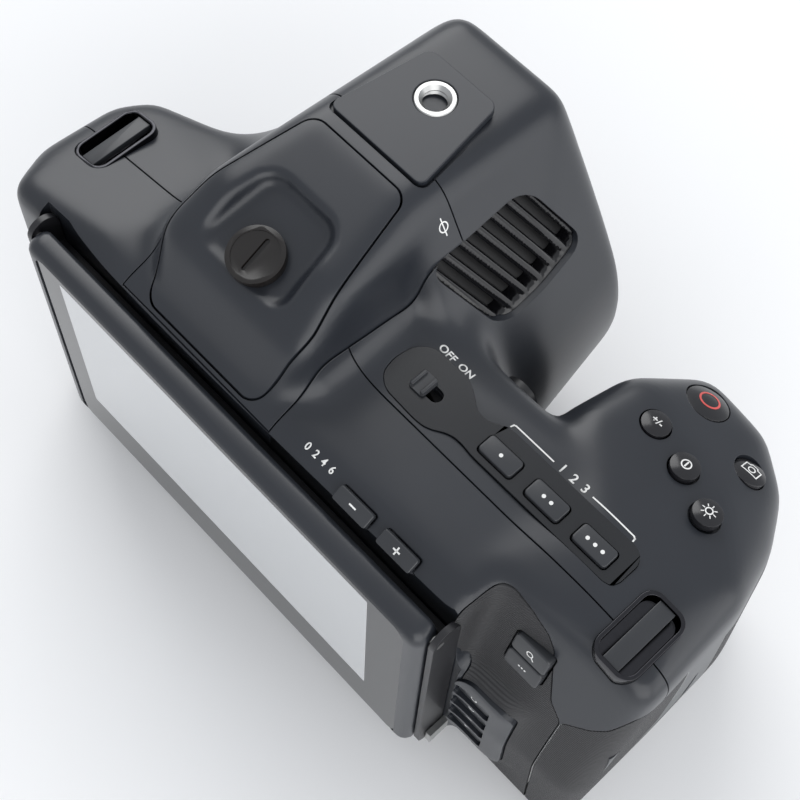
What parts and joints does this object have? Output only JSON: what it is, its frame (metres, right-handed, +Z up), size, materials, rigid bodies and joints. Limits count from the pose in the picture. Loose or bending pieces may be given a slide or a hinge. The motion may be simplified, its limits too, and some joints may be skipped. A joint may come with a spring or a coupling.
{
  "type": "digital cinema camera",
  "caption": "Digital cinema camera body with a lens mount in front, a hand grip with keys, a vented hump with an accessory thread on top, and a tilting screen on the back.",
  "frame": {"origin": "mouth of the tripod thread in the base, on the plane the camera stands on", "axes": "+X to the operator's left along the body, -Y out of the lens mount, +Z up"},
  "size_m": [0.1861, 0.1111, 0.1228],
  "materials": {
    "casing": "satin, fine grained",
    "keys": "satin",
    "dark_parts": "matt",
    "gloss_parts": "gloss",
    "rubber": "ribbed",
    "steel": "satin",
    "alloy": "satin",
    "contacts": "bright",
    "board": "satin",
    "sensor_glass": "coated",
    "screen_glass": "gloss",
    "battery": "satin"
  },
  "bodies": {
    "camera_body": {"front_housing": "casing", "rear_housing": "casing", "hump_housing": "casing", "hump_cover": "casing", "accessory_plate": "dark_parts", "top_insert": "steel", "base_plate": "dark_parts", "tripod_insert": "steel", "key_plate": "gloss_parts", "thumb_rubber": "rubber", "grip_rubber": "rubber", "vent_grille": "gloss_parts", "lens_mount_ring": "steel", "mount_screws": "steel", "lens_contacts": "contacts", "image_sensor": "board", "sensor_glass": "sensor_glass", "main_board": "board", "heat_sink": "alloy", "fan_frame": "dark_parts", "card_reader": "steel", "battery": "battery", "port_jacks": "steel", "lower_hinges": "steel", "strap_lugs": "steel", "microphones": "dark_parts", "body_screws": "steel"},
    "socket_plug": {"socket_plug": "gloss_parts"},
    "release_button": {"release_button": "casing"},
    "lock_pin": {"lock_pin": "steel"},
    "filter_slide": {"filter_slide": "dark_parts"},
    "fan_rotor": {"fan_rotor": "dark_parts"},
    "card_door": {"card_door": "casing"},
    "battery_door": {"battery_door": "casing"},
    "battery_latch": {"battery_latch": "steel"},
    "port_door_upper": {"port_door_upper": "rubber"},
    "port_door_lower": {"port_door_lower": "rubber"},
    "screen_bracket": {"screen_bracket": "dark_parts", "upper_hinges": "steel"},
    "screen": {"screen_housing": "casing", "screen_glass": "screen_glass"},
    "function_key_1": {"function_key_1": "keys"},
    "function_key_2": {"function_key_2": "keys"},
    "function_key_3": {"function_key_3": "keys"},
    "iso_key": {"iso_key": "keys"},
    "shutter_key": {"shutter_key": "keys"},
    "balance_key": {"balance_key": "keys"},
    "record_button": {"record_button": "keys"},
    "still_button": {"still_button": "keys"},
    "power_switch": {"power_switch": "keys"},
    "nd_minus_key": {"nd_minus_key": "keys"},
    "nd_plus_key": {"nd_plus_key": "keys"},
    "zoom_key": {"zoom_key": "keys"},
    "rate_key": {"rate_key": "keys"},
    "focus_key": {"focus_key": "keys"},
    "iris_key": {"iris_key": "keys"},
    "menu_key": {"menu_key": "keys"},
    "play_key": {"play_key": "keys"},
    "front_dial": {"front_dial": "keys"},
    "front_record_button": {"front_record_button": "keys"}
  },
  "joints": [
    {"name": "plug_unscrew", "type": "slide", "parent": "camera_body", "child": "socket_plug", "axis": [0, 0.2419, 0.9703], "range_m": [0, 0.012]},
    {"name": "release_press", "type": "slide", "parent": "camera_body", "child": "release_button", "axis": [0, 1, 0], "range_m": [0, 0.00144], "stiffness_N_per_m": 400},
    {"name": "lock_retract", "type": "slide", "parent": "camera_body", "child": "lock_pin", "axis": [0, 1, 0], "range_m": [0, 0.00144]},
    {"name": "filter_travel", "type": "slide", "parent": "camera_body", "child": "filter_slide", "axis": [-1, 0, 0], "range_m": [0, 0.02646]},
    {"name": "fan_spin", "type": "hinge", "parent": "camera_body", "child": "fan_rotor", "pos_m": [0, -0.02, 0.09545], "axis": [0, 1, 0], "continuous": true},
    {"name": "card_door_open", "type": "hinge", "parent": "camera_body", "child": "card_door", "pos_m": [-0.117, -0.006, 0.045], "axis": [0, 0, 1], "range_deg": [0, 100]},
    {"name": "battery_door_open", "type": "hinge", "parent": "camera_body", "child": "battery_door", "pos_m": [-0.09155, -0.00256, 0], "axis": [1, 0, 0], "range_deg": [0, 90]},
    {"name": "latch_slide", "type": "slide", "parent": "battery_door", "child": "battery_latch", "axis": [1, 0, 0], "range_m": [0, 0.00384]},
    {"name": "port_upper_open", "type": "hinge", "parent": "camera_body", "child": "port_door_upper", "pos_m": [0.0693, -0.0014, 0.064], "axis": [0, 0, -1], "range_deg": [0, 100]},
    {"name": "port_lower_open", "type": "hinge", "parent": "camera_body", "child": "port_door_lower", "pos_m": [0.0693, -0.0014, 0.029], "axis": [0, 0, -1], "range_deg": [0, 100]},
    {"name": "bracket_tilt", "type": "hinge", "parent": "camera_body", "child": "screen_bracket", "pos_m": [-0.01475, 0.03485, 0.0205], "axis": [-1, 0, 0], "range_deg": [0, 40]},
    {"name": "screen_tilt", "type": "hinge", "parent": "screen_bracket", "child": "screen", "pos_m": [-0.01475, 0.0367, 0.0897], "axis": [1, 0, 0], "range_deg": [0, 90]},
    {"name": "function_key_1_press", "type": "slide", "parent": "camera_body", "child": "function_key_1", "axis": [0, 0, -1], "range_m": [0, 0.0006], "stiffness_N_per_m": 250},
    {"name": "function_key_2_press", "type": "slide", "parent": "camera_body", "child": "function_key_2", "axis": [0, 0, -1], "range_m": [0, 0.0006], "stiffness_N_per_m": 250},
    {"name": "function_key_3_press", "type": "slide", "parent": "camera_body", "child": "function_key_3", "axis": [0, 0, -1], "range_m": [0, 0.0006], "stiffness_N_per_m": 250},
    {"name": "iso_key_press", "type": "slide", "parent": "camera_body", "child": "iso_key", "axis": [0, 0.2211, -0.9752], "range_m": [0, 0.0006], "stiffness_N_per_m": 250},
    {"name": "shutter_key_press", "type": "slide", "parent": "camera_body", "child": "shutter_key", "axis": [0, 0.2211, -0.9752], "range_m": [0, 0.0006], "stiffness_N_per_m": 250},
    {"name": "balance_key_press", "type": "slide", "parent": "camera_body", "child": "balance_key", "axis": [0, 0.2211, -0.9752], "range_m": [0, 0.0006], "stiffness_N_per_m": 250},
    {"name": "record_button_press", "type": "slide", "parent": "camera_body", "child": "record_button", "axis": [0, 0.4746, -0.8802], "range_m": [0, 0.0006], "stiffness_N_per_m": 250},
    {"name": "still_button_press", "type": "slide", "parent": "camera_body", "child": "still_button", "axis": [0, 0.4746, -0.8802], "range_m": [0, 0.0006], "stiffness_N_per_m": 250},
    {"name": "power_switch_slide", "type": "slide", "parent": "camera_body", "child": "power_switch", "axis": [-1, 0, 0], "range_m": [0, 0.00368]},
    {"name": "nd_minus_key_press", "type": "slide", "parent": "camera_body", "child": "nd_minus_key", "axis": [0, -0.5147, -0.8573], "range_m": [0, 0.0006], "stiffness_N_per_m": 250},
    {"name": "nd_plus_key_press", "type": "slide", "parent": "camera_body", "child": "nd_plus_key", "axis": [0, -0.5147, -0.8573], "range_m": [0, 0.0006], "stiffness_N_per_m": 250},
    {"name": "zoom_key_press", "type": "slide", "parent": "camera_body", "child": "zoom_key", "axis": [0, -0.9744, -0.225], "range_m": [0, 0.0006], "stiffness_N_per_m": 250},
    {"name": "rate_key_press", "type": "slide", "parent": "camera_body", "child": "rate_key", "axis": [0, -0.9744, -0.225], "range_m": [0, 0.0006], "stiffness_N_per_m": 250},
    {"name": "focus_key_press", "type": "slide", "parent": "camera_body", "child": "focus_key", "axis": [0, -1, 0], "range_m": [0, 0.0006], "stiffness_N_per_m": 250},
    {"name": "iris_key_press", "type": "slide", "parent": "camera_body", "child": "iris_key", "axis": [0, -1, 0], "range_m": [0, 0.0006], "stiffness_N_per_m": 250},
    {"name": "menu_key_press", "type": "slide", "parent": "camera_body", "child": "menu_key", "axis": [0, -1, 0], "range_m": [0, 0.0006], "stiffness_N_per_m": 250},
    {"name": "play_key_press", "type": "slide", "parent": "camera_body", "child": "play_key", "axis": [0, -1, 0], "range_m": [0, 0.0006], "stiffness_N_per_m": 250},
    {"name": "front_dial_turn", "type": "hinge", "parent": "camera_body", "child": "front_dial", "pos_m": [-0.08307, -0.0522, 0.06045], "axis": [0, 0, 1], "continuous": true},
    {"name": "front_record_press", "type": "slide", "parent": "camera_body", "child": "front_record_button", "axis": [0, 1, 0], "range_m": [0, 0.0006], "stiffness_N_per_m": 250}
  ],
  "couplings": [
    {"joint": "lock_retract", "follows": "release_press", "ratio": 1}
  ]
}
